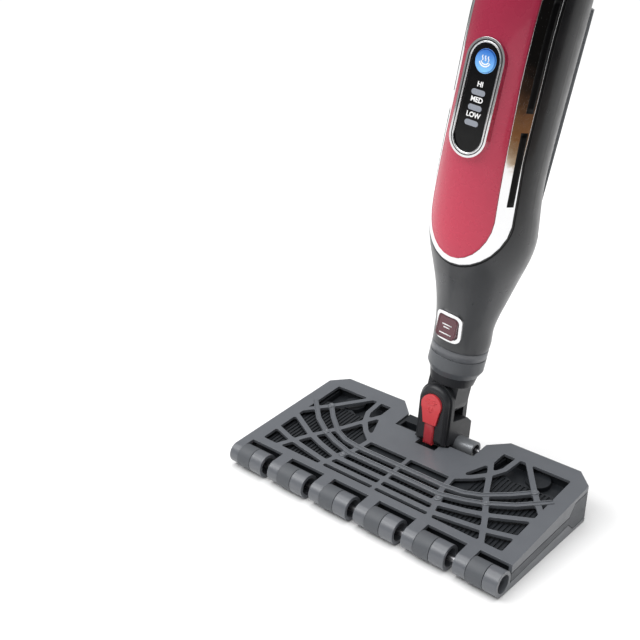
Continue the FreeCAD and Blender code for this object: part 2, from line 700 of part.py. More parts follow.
BUTTON_Z = 310.5
BUTTON_R = 8.2
panel_inset = BEZEL_W + 0.1
panel = stadium(CONTROL_HALF_W - panel_inset, CONTROL_HALF_H - panel_inset, FRONT_Y - 1.8, FRONT_Y + 1.0,
                CONTROL_Z)
PILLS_Z = (287.0, 275.3, 263.6)
pill_shapes = []
for z in PILLS_Z:
    pill = fuse([box(-4.0, 4.0, FRONT_Y - 2.1, FRONT_Y - 0.4, z - 2.15, z + 2.15),
                 cyl_y(2.15, FRONT_Y - 2.1, FRONT_Y - 0.4, -4.0, z),
                 cyl_y(2.15, FRONT_Y - 2.1, FRONT_Y - 0.4, 4.0, z)])
    pill_shapes.append(pill)
panel = cut(panel, [cyl_y(BUTTON_R + 0.35, -90, -40, 0, BUTTON_Z)] + pill_shapes)
body_part("control_panel", panel)
body_part("mode_lights", Part.makeCompound(pill_shapes))
button = fuse([cyl_y(BUTTON_R, FRONT_Y - 2.8, FRONT_Y + 2.0, 0, BUTTON_Z),
               cyl_y(BUTTON_R + 1.6, FRONT_Y + 2.4, FRONT_Y + 3.6, 0, BUTTON_Z),
               cyl_y(3.0, FRONT_Y + 1.0, FRONT_Y + 6.0, 0, BUTTON_Z)])
body_part("steam_button", button)

board = box(-13, 13, FRONT_Y + 9.4, FRONT_Y + 11.0, CONTROL_Z - 38, CONTROL_Z + 38)
board = fuse([board, box(-3, 3, FRONT_Y + 7.6, FRONT_Y + 9.4, BUTTON_Z - 3, BUTTON_Z + 3)])
body_part("circuit_board", board)

# ---- release button ------------------------------------------------------------------
bezel_outer = rounded_box(-13.2, 13.2, -34.2, -22, RELEASE_Z - 14, RELEASE_Z + 14, 6.0, Y_AXIS)
bezel_inner = rounded_box(-10.6, 10.6, -50, -10, RELEASE_Z - 11.1, RELEASE_Z + 11.1, 4.8, Y_AXIS)
release_bezel = bezel_outer.cut(bezel_inner).cut(body_loft(0.05)).common(body_loft(2.4))
body_part("release_bezel", release_bezel)
cap = rounded_box(-10.2, 10.2, -32.4, -23.4, RELEASE_Z - 10.7, RELEASE_Z + 10.7, 4.5, Y_AXIS)
stem = box(-4, 4, -23.4, -16.0, RELEASE_Z - 5, RELEASE_Z + 5)
body_part("release_button", fuse([cap, stem]))
spring = coil(2.6, 0.5, 0, 4.6, 4)
spring.rotate(V(0, 0, 0), X_AXIS, -90)
spring.translate(V(0, -15.8, RELEASE_Z))
body_part("release_spring", spring)

# ---- inside the body --------------------------------------------------------------------
# a spine plate carries the heater, pump and board
spine = box(-20, 20, -11.0, -8.6, 71, 340)
spine = cut(spine, [cyl_y(6, -20, 0, 0, 200), cyl_y(5.5, -20, 0, 6.3, 250),
                    box(-21, -7, -12, -8, 70, 98), box(7, 21, -12, -8, 70, 98)])
body_part("spine", spine)
heater = rounded_box(-17, 17, -40, -14, 150, 230, 6.0, Z_AXIS)
heater = cut(heater, [cyl_z(3.0, 150, 230, 0, -26)])
body_part("heater_block", heater)
body_part("heater_tube", cyl_z(3.0, 144, 236, 0, -26))
stats = []
for z in (172, 208):
    stats.append(cyl_y(7.0, -46.5, -40.0, 0, z))
body_part("thermostats", Part.makeCompound(stats))
brackets = []
for z in (156, 222):
    brackets.append(box(-14, 14, -14.0, -11.0, z - 4, z + 4))
body_part("heater_brackets", Part.makeCompound(brackets))
pump = fuse([rounded_box(-13, 13, -31, -14, 106, 132, 5.0, Z_AXIS), cyl_z(2.4, 100, 106, -8, -19),
             cyl_z(3.0, 132, 138.6, 0, -26)])
body_part("pump", pump)
mounts = [box(-9, 9, -14.0, -11.0, 106, 114), box(-9, 9, -14.0, -11.0, 122, 130)]
body_part("pump_mounts", Part.makeCompound(mounts))
body_part("pump_hose", hose([(0, -26, 138.7), (0, -26, 143.9)], 3.2, 1.8))
steam = hose([(0, -26, 236.2), (0, -26, 246), (9, -2.8, 252), (9, -2.8, 90), (0, 0, 68),
              (0, 0, 62.6)], 3.0, 1.8)
body_part("steam_pipe", steam)
water = hose([(0, 18, 164.8), (0, 18, 160), (-9, 12, 152), (-9, -2, 135), (-10, -4, 96),
              (-11, -13, 91), (-8, -19, 95), (-8, -19, 99.8)], 2.6, 1.6)
body_part("water_hose", water)

# ---- water tank -----------------------------------------------------------------------
def tank_form(grow):
    a = 41.0 + grow
    b = 45.0 + grow
    wires = [ellipse_wire(z, a, b, -12.5) for z in (TANK_Z0 + 0.4 - grow, TANK_TOP + grow)]
    lump = Part.makeLoft(wires, True, True)
    return lump.common(box(-80, 80, TANK_Y + 0.5 - grow, 80, 0, 500))


TANK_WALL = 2.2
LID_Z = TANK_TOP - TANK_WALL
cap_z = TANK_TOP + 6.3
CAP_PIN_Y = 31.5
cap_pin_z = cap_z + 1.75
lugs = both_sides(box(4.3, 6.5, 30.5, 33.3, TANK_TOP - 1.5, cap_z + 3.5))
cap_pin = cyl_x(1.0, -5, 5, CAP_PIN_Y, cap_pin_z)
tank = tank_form(0).common(box(-80, 80, -80, 80, TANK_Z0 - 5, LID_Z)).cut(tank_form(-TANK_WALL))
body_part("water_tank", tank.cut(cyl_z(5.0, TANK_Z0 - 2, TANK_Z0 + 6, 0, 18)))
lid = tank_form(0).common(box(-80, 80, -80, 80, LID_Z, TANK_TOP + 5))
lid = fuse([lid, cyl_z(9.0, LID_Z, TANK_TOP + 6, 0, 20), cap_pin] + lugs)
body_part("tank_lid", lid.cut(cyl_z(7.0, LID_Z - 2, TANK_TOP + 8, 0, 20)))
valve = fuse([cyl_z(4.9, TANK_Z0 + 0.6, TANK_Z0 + 8, 0, 18), cyl_z(7.0, TANK_Z0 + 3.2, TANK_Z0 + 5.2, 0, 18)])
body_part("tank_valve", valve)
cap = fuse([cyl_z(11.0, cap_z, cap_z + 3.5, 0, 20), cyl_z(5.6, cap_z - 3, cap_z, 0, 20),
            box(-4, 4, 26.0, 33.4, cap_z, cap_z + 3.5)])
lug_rooms = both_sides(box(4.0, 12.0, 28.4, 34, cap_z - 1, cap_z + 5))
cap = cut(cap, [cyl_x(1.0 + RUN, -5, 5, CAP_PIN_Y, cap_pin_z)] + lug_rooms)
body_part("tank_cap", cap)
seal = cyl_z(6.2, cap_z - 2.4, cap_z - 1.2, 0, 20).cut(cyl_z(5.6, cap_z - 7, cap_z, 0, 20))
body_part("cap_seal", seal)
socket_ring = cyl_z(6.0, TANK_Z0 - 7, TANK_Z0 - 0.2, 0, 18)
body_part("tank_socket", socket_ring.cut(cyl_z(3.0, TANK_Z0 - 20, TANK_Z0 + 1, 0, 18)))

# ---- tube, handle and cord hooks -------------------------------------------------------------
TUBE_Y = -12.0
tube_bore = cyl_z(TUBE_R - 1.4, TUBE_Z0 - 1, TUBE_Z1 + 1, 0, TUBE_Y)
body_part("handle_tube", cyl_z(TUBE_R, TUBE_Z0, TUBE_Z1, 0, TUBE_Y).cut(tube_bore))
ferrule = cyl_z(19.0, BODY_TOP + 0.1, BODY_TOP + 26, 0, TUBE_Y).cut(cyl_z(TUBE_R, 380, 460, 0, TUBE_Y))
body_part("tube_ferrule", ferrule)

GRIP_R = 16.5


def grip_half(front):
    neck_ring = cyl_z(GRIP_R + 1.5, TUBE_Z1 - 62, TUBE_Z1 - 20, 0, TUBE_Y)
    bend = fuse([
        bar((0, TUBE_Y, TUBE_Z1 - 22), (0, TUBE_Y + 4, TUBE_Z1 + 40), GRIP_R),
        Part.makeSphere(GRIP_R, V(0, TUBE_Y + 4, TUBE_Z1 + 40)),
        bar((0, TUBE_Y + 4, TUBE_Z1 + 40), (0, TUBE_Y + 26, GRIP_TOP - 18), GRIP_R),
        Part.makeSphere(GRIP_R, V(0, TUBE_Y + 26, GRIP_TOP - 18)),
    ])
    solid = fuse([neck_ring, bend])
    solid = solid.cut(cyl_z(TUBE_R, TUBE_Z1 - 80, TUBE_Z1, 0, TUBE_Y))
    hollow = fuse([
        bar((0, TUBE_Y, TUBE_Z1), (0, TUBE_Y + 4, TUBE_Z1 + 40), GRIP_R - 2.5),
        Part.makeSphere(GRIP_R - 2.5, V(0, TUBE_Y + 4, TUBE_Z1 + 40)),
        bar((0, TUBE_Y + 4, TUBE_Z1 + 40), (0, TUBE_Y + 24, GRIP_TOP - 24), GRIP_R - 2.5),
    ])
    solid = solid.cut(hollow)
    if front:
        keep = box(-60, 60, -100, TUBE_Y + 2, 800, 1300)
    else:
        keep = box(-60, 60, TUBE_Y + 2, 100, 800, 1300)
    return solid.common(keep)


body_part("grip_front", grip_half(True))
body_part("grip_rear", grip_half(False))

hook = fuse([
    cyl_z(17.4, TUBE_Z1 - 86, TUBE_Z1 - 68, 0, TUBE_Y),
    box(-7, 7, TUBE_Y + 12, TUBE_Y + 44, TUBE_Z1 - 84, TUBE_Z1 - 74),
    box(-7, 7, TUBE_Y + 38, TUBE_Y + 44, TUBE_Z1 - 80, TUBE_Z1 - 56),
])
hook = hook.cut(cyl_z(TUBE_R + RUN, TUBE_Z1 - 90, TUBE_Z1 - 60, 0, TUBE_Y))
body_part("upper_cord_hook", hook)
low_hook = fuse([
    cyl_z(18.0, BODY_TOP + 30, BODY_TOP + 50, 0, TUBE_Y),
    box(-7, 7, TUBE_Y + 12, TUBE_Y + 44, BODY_TOP + 36, BODY_TOP + 46),
    box(-7, 7, TUBE_Y + 38, TUBE_Y + 44, BODY_TOP + 18, BODY_TOP + 40),
])
low_hook = low_hook.cut(cyl_z(TUBE_R, BODY_TOP + 20, BODY_TOP + 60, 0, TUBE_Y))
body_part("lower_cord_hook", low_hook)

gland = fuse([cyl_y(6.0, 12, 28, 0, GLAND_Z), cyl_y(8.0, 25, 28, 0, GLAND_Z)])
body_part("cord_gland", gland.cut(cyl_y(3.6, 10, 30, 0, GLAND_Z)))

# ---- export -----------------------------------------------------------------------------
os.makedirs("parts", exist_ok=True)
for name, shape in parts.items():
    shape.exportStep("parts/%s.step" % name)
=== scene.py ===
import json
import math

import bmesh
import bpy
from mathutils import Matrix, Vector
from mathutils.bvhtree import BVHTree


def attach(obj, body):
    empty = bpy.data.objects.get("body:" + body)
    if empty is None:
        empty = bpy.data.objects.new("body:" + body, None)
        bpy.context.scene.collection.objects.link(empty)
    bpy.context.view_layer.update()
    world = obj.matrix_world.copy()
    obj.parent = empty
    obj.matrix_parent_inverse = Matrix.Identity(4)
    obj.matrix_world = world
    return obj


# Steam mop: finishes, raised and printed details, floor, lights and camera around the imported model.
# Details are drawn in millimetres on one of three local frames and stored in metres.

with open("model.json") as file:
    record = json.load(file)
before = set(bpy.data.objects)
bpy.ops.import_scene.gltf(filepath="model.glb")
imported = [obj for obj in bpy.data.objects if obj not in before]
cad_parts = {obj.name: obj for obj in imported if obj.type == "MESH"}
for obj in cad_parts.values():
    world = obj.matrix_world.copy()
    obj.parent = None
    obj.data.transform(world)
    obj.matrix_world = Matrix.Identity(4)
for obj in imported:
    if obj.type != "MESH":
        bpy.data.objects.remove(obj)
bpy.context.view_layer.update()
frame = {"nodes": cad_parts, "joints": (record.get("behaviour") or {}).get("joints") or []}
nodes = frame["nodes"]
joints = {j["name"]: j for j in frame["joints"]}

# ---- local frames -------------------------------------------------------------------
MM = Matrix.Scale(0.001, 4)


def frame_at(origin, x, y, z):
    """Matrix from local millimetres to the row frame in metres."""
    turn = Matrix((x, y, z)).transposed().to_4x4()
    return Matrix.Translation(origin) @ turn @ MM


neck_origin = Vector(joints["neck_pitch"]["pos_m"])
body_origin = Vector(joints["body_roll"]["pos_m"])
across = Vector((1, 0, 0))
neck_up = (body_origin - neck_origin).normalized()
neck_back = neck_up.cross(across)
ON_NECK = frame_at(neck_origin, across, neck_back, neck_up)

body_back = Vector(joints["body_roll"]["axis"]).normalized()
body_up = Vector(joints["body_release"]["axis"]).normalized()
ON_BODY = frame_at(body_origin, body_back.cross(body_up), body_back, body_up)

SLOT_Y = -68.8              # back edge of the knuckle slots
SLOT_Z = 22.8               # height of the upper frame's top face at that edge
TILT = math.radians(6.2)    # the upper frame rises towards the back
plate_back = Vector((0, math.cos(TILT), math.sin(TILT)))
plate_up = across.cross(plate_back)
ON_PLATE = frame_at(Vector((0, SLOT_Y, SLOT_Z)) * 0.001, across, plate_back, plate_up)


# ---- procedural materials -------------------------------------------------------------
def linear(hex_code):
    """A colour written as six hex digits, in linear light."""
    channels = []
    for i in (0, 2, 4):
        c = int(hex_code[i:i + 2], 16) / 255
        channels.append(c / 12.92 if c <= 0.04045 else ((c + 0.055) / 1.055) ** 2.4)
    return (*channels, 1.0)


def scaled(colour, k):
    return (*[min(c * k, 1.0) for c in colour[:3]], 1.0)


class Look:
    """A node material: mottled colour, worn edges, varied roughness and a fine bump."""

    def __init__(self, name, colour, rough, metallic=0.0, coat=0.0, mottle=0.06, cloud=45.0,
                 grain=2600.0, bump=0.12, wear=0.35, edge=0.5, spread=0.05, specular=0.5):
        self.material = bpy.data.materials.new(name)
        self.material.use_nodes = True
        tree = self.material.node_tree
        self.tree = tree
        self.shader = tree.nodes["Principled BSDF"]
        self.shader.inputs["Metallic"].default_value = metallic
        self.shader.inputs["Coat Weight"].default_value = coat
        self.shader.inputs["Coat Roughness"].default_value = 0.06
        self.shader.inputs["Specular IOR Level"].default_value = specular
        self.place = self.add("ShaderNodeTexCoord")
        clouds = self.noise(cloud, 4.0).outputs["Fac"]
        base = self.mix(clouds, scaled(colour, 1 - mottle), scaled(colour, 1 + mottle))
        self.rounded = self.add("ShaderNodeBevel", samples=4)
        self.rounded.inputs["Radius"].default_value = edge * 0.001
        self.colour = self.worn(base, scaled(colour, 1 + wear * 1.6)) if wear > 0 else base
        self.link(self.colour, self.shader.inputs["Base Color"])
        self.roughness(rough, spread)
        self.bump = self.add("ShaderNodeBump")
        self.bump.inputs["Strength"].default_value = bump
        self.bump.inputs["Distance"].default_value = 0.0002
        self.link(self.noise(grain, 3.0).outputs["Fac"], self.bump.inputs["Height"])
        self.link(self.rounded.outputs["Normal"], self.bump.inputs["Normal"])
        self.link(self.bump.outputs["Normal"], self.shader.inputs["Normal"])

    def add(self, kind, **settings):
        node = self.tree.nodes.new(kind)
        for key, value in settings.items():
            setattr(node, key, value)
        return node

    def link(self, a, b):
        self.tree.links.new(a, b)

    def noise(self, scale, detail, source=None):
        node = self.add("ShaderNodeTexNoise")
        node.inputs["Scale"].default_value = scale
        node.inputs["Detail"].default_value = detail
        self.link(source or self.place.outputs["Object"], node.inputs["Vector"])
        return node

    def mix(self, factor, a, b):
        node = self.add("ShaderNodeMix", data_type="RGBA")
        self.link(factor, node.inputs[0])
        for value, socket in ((a, node.inputs[6]), (b, node.inputs[7])):
            if isinstance(value, tuple):
                socket.default_value = value
            else:
                self.link(value, socket)
        return node.outputs[2]

    def remap(self, value, low, high, to_low=0.0, to_high=1.0):
        node = self.add("ShaderNodeMapRange")
        self.link(value, node.inputs["Value"])
        limits = {"From Min": low, "From Max": high, "To Min": to_low, "To Max": to_high}
        for key, number in limits.items():
            node.inputs[key].default_value = number
        return node.outputs["Result"]

    def math(self, operation, a, b):
        node = self.add("ShaderNodeMath", operation=operation)
        for value, socket in ((a, node.inputs[0]), (b, node.inputs[1])):
            if isinstance(value, (int, float)):
                socket.default_value = value
            else:
                self.link(value, socket)
        return node.outputs["Value"]

    def worn(self, base, bright):
        """Edges rub a little brighter: where the rounded normal leaves the flat one."""
        flat = self.add("ShaderNodeNewGeometry")
        dot = self.add("ShaderNodeVectorMath", operation="DOT_PRODUCT")
        self.link(flat.outputs["Normal"], dot.inputs[0])
        self.link(self.rounded.outputs["Normal"], dot.inputs[1])
        near_edge = self.remap(dot.outputs["Value"], 0.995, 0.85)
        patchy = self.remap(self.noise(260.0, 3.0).outputs["Fac"], 0.35, 0.7, 0.15, 0.8)
        return self.mix(self.math("MULTIPLY", near_edge, patchy), base, bright)

    def roughness(self, rough, spread):
        fac = self.noise(90.0, 5.0).outputs["Fac"]
        value = self.remap(fac, 0.3, 0.7, max(rough - spread, 0.02), rough + spread)
        self.link(value, self.shader.inputs["Roughness"])

    def repaint(self, colour):
        self.colour = colour
        self.link(colour, self.shader.inputs["Base Color"])

    def height_along(self, axis, low, high):
        """0 to 1 along a direction of the row frame, between two places in metres."""
        dot = self.add("ShaderNodeVectorMath", operation="DOT_PRODUCT")
        self.link(self.place.outputs["Object"], dot.inputs[0])
        dot.inputs[1].default_value = axis
        return self.remap(dot.outputs["Value"], low, high)


def brushed(look, axis):
    """Stretches a noise along an axis, for metal drawn or turned along it."""
    stretch = look.add("ShaderNodeMapping")
    stretch.inputs["Scale"].default_value = [0.02 if i == axis else 1.0 for i in range(3)]
    look.link(look.place.outputs["Object"], stretch.inputs["Vector"])
    lines = look.noise(900.0, 2.0, stretch.outputs["Vector"])
    look.link(lines.outputs["Fac"], look.bump.inputs["Height"])


def glowing(look, colour, strength):
    look.shader.inputs["Emission Color"].default_value = colour
    look.shader.inputs["Emission Strength"].default_value = strength


LOOKS = {
    "frame": Look("moulded_grey", linear("5f6267"), 0.34, coat=0.2, bump=0.18, wear=0.6, edge=0.7),
    "core": Look("dark_core", linear("1f2226"), 0.48, bump=0.25, wear=0.3, specular=0.35),
    "neck": Look("charcoal", linear("2c2d30"), 0.38, bump=0.15, wear=0.4, edge=0.7, specular=0.4),
    "collar": Look("collar_grey", linear("55585c"), 0.36, bump=0.14, wear=0.25, edge=0.7),
    "band": Look("band_grey", linear("6b6d71"), 0.34, bump=0.12, wear=0.25),
    "barrel": Look("silver_paint", linear("85888c"), 0.34, metallic=0.35, bump=0.1, wear=0.2),
    "lever": Look("lever_red", linear("dc4249"), 0.36, coat=0.25, mottle=0.05, bump=0.14, wear=0.18),
    # a darker copy of the lever red for the sunk foot: painted shade
    "lever_painted_shade": Look("lever_bar_painted_shade", linear("b12f39"), 0.38, coat=0.2, mottle=0.05, bump=0.14, wear=0.15),
    "maroon": Look("release_maroon", linear("581a29"), 0.22, coat=0.7, mottle=0.05, bump=0.04, wear=0.12),
    "shell": Look("shell_grey_painted_reflection", linear("4c4d4f"), 0.32, coat=0.12, specular=0.28, mottle=0.03, bump=0.02,
                  wear=0.0, edge=0.05),
    "panel": Look("raspberry", linear("c63450"), 0.28, metallic=0.15, coat=0.4, specular=0.35, mottle=0.03,
                  cloud=14.0, bump=0.01, wear=0.0, edge=0.05),
    "chrome": Look("chrome", linear("e9e9ea"), 0.07, metallic=1.0, mottle=0.03, bump=0.01, wear=0.0,
                   spread=0.03),
    "black": Look("panel_black", linear("040405"), 0.14, coat=0.15, specular=0.2, mottle=0.15, bump=0.01,
                  wear=0.0),
    "slot": Look("slot_black", linear("050506"), 0.35, specular=0.15, mottle=0.2, bump=0.05, wear=0.0),
    "lamp": Look("lamp_grey", linear("8f949e"), 0.25, coat=0.5, bump=0.03, wear=0.1),
    "white": Look("print_white_painted_glow", linear("f4f4f4"), 0.45, mottle=0.02, bump=0.05, wear=0.0),
    "blue": Look("button_blue", linear("3d8bdc"), 0.25, coat=0.8, mottle=0.08, bump=0.02, wear=0.0),
    "rubber": Look("grip_rubber", linear("1e1f21"), 0.62, mottle=0.12, bump=0.5, grain=1400.0, wear=0.3),
    "tube": Look("brushed_tube", linear("a4a6aa"), 0.28, metallic=1.0, mottle=0.04, bump=0.15, wear=0.15),
    "steel": Look("steel", linear("a8a8ab"), 0.30, metallic=1.0, mottle=0.06, bump=0.12, wear=0.2),
    "brass": Look("brass", linear("b08d4f"), 0.32, metallic=1.0, mottle=0.08, bump=0.1, wear=0.2),
    "cast": Look("cast_heater", linear("9c9da0"), 0.55, metallic=0.9, mottle=0.1, bump=0.7, grain=900.0),
    "silicone": Look("silicone", linear("cfc8bb"), 0.42, mottle=0.05, bump=0.15, wear=0.0),
    "board": Look("board_green", linear("1e5a37"), 0.45, mottle=0.12, bump=0.2, wear=0.2),
    "tank": Look("tank_smoke", linear("a9acb0"), 0.22, coat=0.3, mottle=0.04, bump=0.03, wear=0.0),
    "cap": Look("cap_black", linear("232427"), 0.42, bump=0.25, wear=0.4),
}


# Heights up the body, in millimetres above the roll pin.
WAIST_Z = 115.0
PANEL_FOOT_Z = 170.0
BUTTON_FOOT_Z = 303.0


def up_body(look, low, span):
    """0 to 1 up the body, from a height over a span, both in millimetres."""
    start = (body_origin + body_up * (low * 0.001)).dot(body_up)
    return look.height_along(body_up, start, start + span * 0.001)


def shell_painted_reflection():
    """Painted reflection: the shell goes from grey at the waist to near black beside the front panel."""
    look = LOOKS["shell"]
    # painted reflection: darker with height, as if the gloss showed dark surroundings
    look.repaint(look.mix(up_body(look, WAIST_Z, 100.0), look.colour, linear("151517")))


def dress_tank():
    shader = LOOKS["tank"].shader
    shader.inputs["Transmission Weight"].default_value = 0.15
    shader.inputs["IOR"].default_value = 1.45


def panel_painted_shade():
    """Painted shade: the raspberry colour is darker towards the top."""
    look = LOOKS["panel"]
    # painted shade: the colour darkens towards the top
    look.repaint(look.mix(up_body(look, PANEL_FOOT_Z, 170.0), look.colour, linear("a32644")))


def button_painted_highlight():
    """Painted highlight: the button is paler towards its lower edge, and glows as painted light."""
    look = LOOKS["blue"]
    button_glow_and_highlight = look.mix(up_body(look, BUTTON_FOOT_Z, 15.0), linear("7dbcf2"), linear("2468bd"))
    look.repaint(button_glow_and_highlight)
    # painted light: the highlight colour also drives the glow
    look.link(button_glow_and_highlight, look.shader.inputs["Emission Color"])


CORE_SIDE_X = 0.1420        # the core's outer sides begin here, metres
CORE_KNUCKLE_Y = -0.0692    # and its knuckles here


def dress_core():
    """The core is dark inside and frame grey along its outer sides and knuckles."""
    look = LOOKS["core"]
    parts = look.add("ShaderNodeSeparateXYZ")
    look.link(look.place.outputs["Object"], parts.inputs["Vector"])
    out_side = look.remap(look.math("ABSOLUTE", parts.outputs["X"], 0.0), CORE_SIDE_X, CORE_SIDE_X + 0.0004)
    knuckle = look.remap(parts.outputs["Y"], CORE_KNUCKLE_Y, CORE_KNUCKLE_Y - 0.0006)
    rim = look.math("MAXIMUM", out_side, knuckle)
    look.repaint(look.mix(rim, look.colour, linear("54575b")))


shell_painted_reflection()
dress_tank()
panel_painted_shade()
button_painted_highlight()
dress_core()
brushed(LOOKS["tube"], 2)
brushed(LOOKS["barrel"], 0)
brushed(LOOKS["steel"], 0)
# painted light: the blue button and its ring glow though no lamp is lit
glowing(LOOKS["blue"], linear("2f7fe0"), 0.25)
# painted light: the white print glows faintly though it is no lamp
glowing(LOOKS["white"], linear("ffffff"), 0.08)

SHELL = ["shell_base", "shell_front", "shell_crown"]
NODE_LOOK = {
    "frame": ["upper_frame", "lower_frame"],
    "core": ["core_lower", "core_upper", "spine"],
    "neck": ["neck_fork", "neck_cover", "tongue_cone", "lower_cord_hook", "upper_cord_hook",
             "tube_ferrule"],
    "collar": ["collar"],
    "barrel": ["barrel"],
    "lever": ["red_lever"],
    "maroon": ["release_button"],
    "shell": SHELL,
    "panel": ["front_panel"],
    "chrome": ["chrome_trim", "control_bezel", "release_bezel"],
    "black": ["control_panel"],
    "lamp": ["mode_lights"],
    "blue": ["steam_button"],
    "rubber": ["grip_front", "grip_rear"],
    "tube": ["handle_tube"],
    "steel": ["front_hinge_pin", "pivot_trunnions", "roll_pin", "roll_pin_clip", "neck_screws", "lever_pin",
              "lever_spring", "release_spring", "heater_tube", "heater_brackets"],
    "brass": ["steam_nipple", "thermostats"],
    "cast": ["heater_block"],
    "silicone": ["steam_channel", "neck_hose", "pump_hose", "steam_pipe", "water_hose", "cap_seal"],
    "board": ["circuit_board"],
    "tank": ["water_tank", "tank_lid"],
    "cap": ["tank_cap", "tank_valve", "tank_socket", "cord_gland", "pump", "pump_mounts"],
}
for look, names in NODE_LOOK.items():
    for name in names:
        mesh = nodes[name].data
        mesh.materials.clear()
        mesh.materials.append(LOOKS[look].material)


# ---- building pieces --------------------------------------------------------------------
def piece(name, bm, place, look, body, smooth=True):
    """Stores a bmesh drawn in local millimetres as a piece that rides on a CAD body."""
    bmesh.ops.recalc_face_normals(bm, faces=bm.faces)
    mesh = bpy.data.meshes.new(name)
    bm.to_mesh(mesh)
    bm.free()
    mesh.transform(place)
    mesh.materials.append(LOOKS[look].material)
    for face in mesh.polygons:
        face.use_smooth = smooth
    obj = bpy.data.objects.new(name, mesh)
    bpy.context.scene.collection.objects.link(obj)
    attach(obj, body)


def ring_faces(bm, rings, closed=False):
    """Joins equal rings of vertices into a tube, with end caps unless it closes on itself."""
    count = len(rings[0])
    last = len(rings) if closed else len(rings) - 1
    for i in range(last):
        a = rings[i]
        b = rings[(i + 1) % len(rings)]
        for k in range(count):
            bm.faces.new((a[k], a[(k + 1) % count], b[(k + 1) % count], b[k]))
    if not closed:
        bm.faces.new(rings[0][::-1])
        bm.faces.new(rings[-1])


def strip(bm, points, normals, width, height, sink=0.15, closed=False):
    """A raised bead along a path: flat-footed, round-shouldered, following the normals."""
    rings = []
    count = len(points)
    for i, (p, n) in enumerate(zip(points, normals)):
        before = points[(i - 1) % count] if closed or i > 0 else p
        after = points[(i + 1) % count] if closed or i < count - 1 else p
        side = (after - before).cross(n).normalized()
        half = width / 2
        profile = [(-half, -sink), (-half, height * 0.55), (-half * 0.55, height), (half * 0.55, height),
                   (half, height * 0.55), (half, -sink)]
        rings.append([bm.verts.new(p + side * s + n * h) for s, h in profile])
    ring_faces(bm, rings, closed)


def arc(cx, cz, r, start, end, steps):
    """Points of an arc, angles in degrees."""
    points = []
    for i in range(steps + 1):
        a = math.radians(start + (end - start) * i / steps)
        points.append((cx + r * math.cos(a), cz + r * math.sin(a)))
    return points


def capsule(half_w, lift, z, steps=18):
    """An upright slot outline centred on x = 0, with its end arcs centred lift above and below z."""
    return arc(0, z + lift, half_w, 0, 180, steps) + arc(0, z - lift, half_w, 180, 360, steps)


def rounded_square(half_w, half_h, z, r, steps=5):
    points = []
    for cx, cz, start in ((half_w - r, z + half_h - r, 0), (-half_w + r, z + half_h - r, 90),
                          (-half_w + r, z - half_h + r, 180), (half_w - r, z - half_h + r, 270)):
        points += arc(cx, cz, r, start, start + 90, steps)
    return points


def densify(points, step):
    """Adds points along straight runs, so that a strip can follow a curved surface."""
    dense = []
    for a, b in zip(points[:-1], points[1:]):
        count = max(1, int(math.dist(a, b) / step))
        for i in range(count):
            t = i / count
            dense.append((a[0] + (b[0] - a[0]) * t, a[1] + (b[1] - a[1]) * t))
    return dense + [points[-1]]


FRONT = -1
BACK = 1
REACH = 130                 # rays start this far before or behind the local origin


class Skin:
    """Finds where a ray meets one or more CAD nodes, in local millimetres."""

    def __init__(self, names, place):
        self.place = place
        self.back = place.inverted()
        points = []
        faces = []
        for name in names:
            mesh = nodes[name].data
            first = len(points)
            points += [v.co for v in mesh.vertices]
            faces += [[first + k for k in p.vertices] for p in mesh.polygons]
        self.tree = BVHTree.FromPolygons(points, faces)

    def hit(self, start, direction):
        a = self.place @ Vector(start)
        d = (self.place.to_3x3() @ Vector(direction)).normalized()
        where, normal, _, _ = self.tree.ray_cast(a, d)
        if where is None:
            return None
        if normal.dot(d) > 0:
            normal = -normal
        return self.back @ where, (self.back.to_3x3() @ normal).normalized()

    def wrap(self, path, side=FRONT):
        """Points and normals for a path of (across, up) pairs, seen from the front or the back."""
        points = []
        normals = []
        for u, v in path:
            found = self.hit((u, side * REACH, v), (0, -side, 0))
            if found:
                points.append(found[0])
                normals.append(found[1])
        return points, normals


def skin_strip(bm, skin, path, width, height, side=FRONT, closed=False):
    """A bead laid on the CAD nodes of a skin."""
    points, normals = skin.wrap(path, side)
    strip(bm, points, normals, width, height, closed=closed)


def flat_strip(bm, path, face_y, width, height, closed=False):
    """A bead on the upright face at y = face_y that looks forward."""
    points = [Vector((x, face_y, z)) for x, z in path]
    strip(bm, points, [Vector((0, -1, 0))] * len(points), width, height, closed=closed)


# ---- floor head ---------------------------------------------------------------------------
RIB = 5.0
LIP = 1.1
LIPPED_RIBS = [
    [(0, 38), (50, 38), (72, 44), (89, 51), (110, 64), (133, 86)],
    [(0, 49.5), (48, 49.5), (66, 52), (80, 58), (100, 74), (114, 88)],
]
BOSSES = [(89, 51), (114, 88), (53, 32)]
BOSS_PROFILE = ((3.4, -0.2), (3.4, 0.5), (2.9, 0.95), (1.3, 0.95), (1.0, 0.35))
BOSS_STEPS = 24


def offset_path(points, distance):
    """A path moved sideways in its own plane."""
    moved = []
    for i, p in enumerate(points):
        a = Vector(points[max(i - 1, 0)])
        b = Vector(points[min(i + 1, len(points) - 1)])
        run = (b - a).normalized()
        moved.append((p[0] - run.y * distance, p[1] + run.x * distance))
    return moved


def head_lips():
    """Thin twin lips along the web's two rear ribs, left and right halves in one piece."""
    up = Vector((0, 0, 1))
    bm = bmesh.new()
    for rib in LIPPED_RIBS:
        for shift in (-1, 1):
            half = offset_path(rib, shift * (RIB - LIP) / 2)
            mirrored = [(-x, y) for x, y in half[:0:-1]]
            path = densify(mirrored + half, 6.0)
            points = [Vector((x, y, 0)) for x, y in path]
            strip(bm, points, [up] * len(points), LIP, 0.75)
    piece("web_lips", bm, ON_PLATE, "frame", "core")


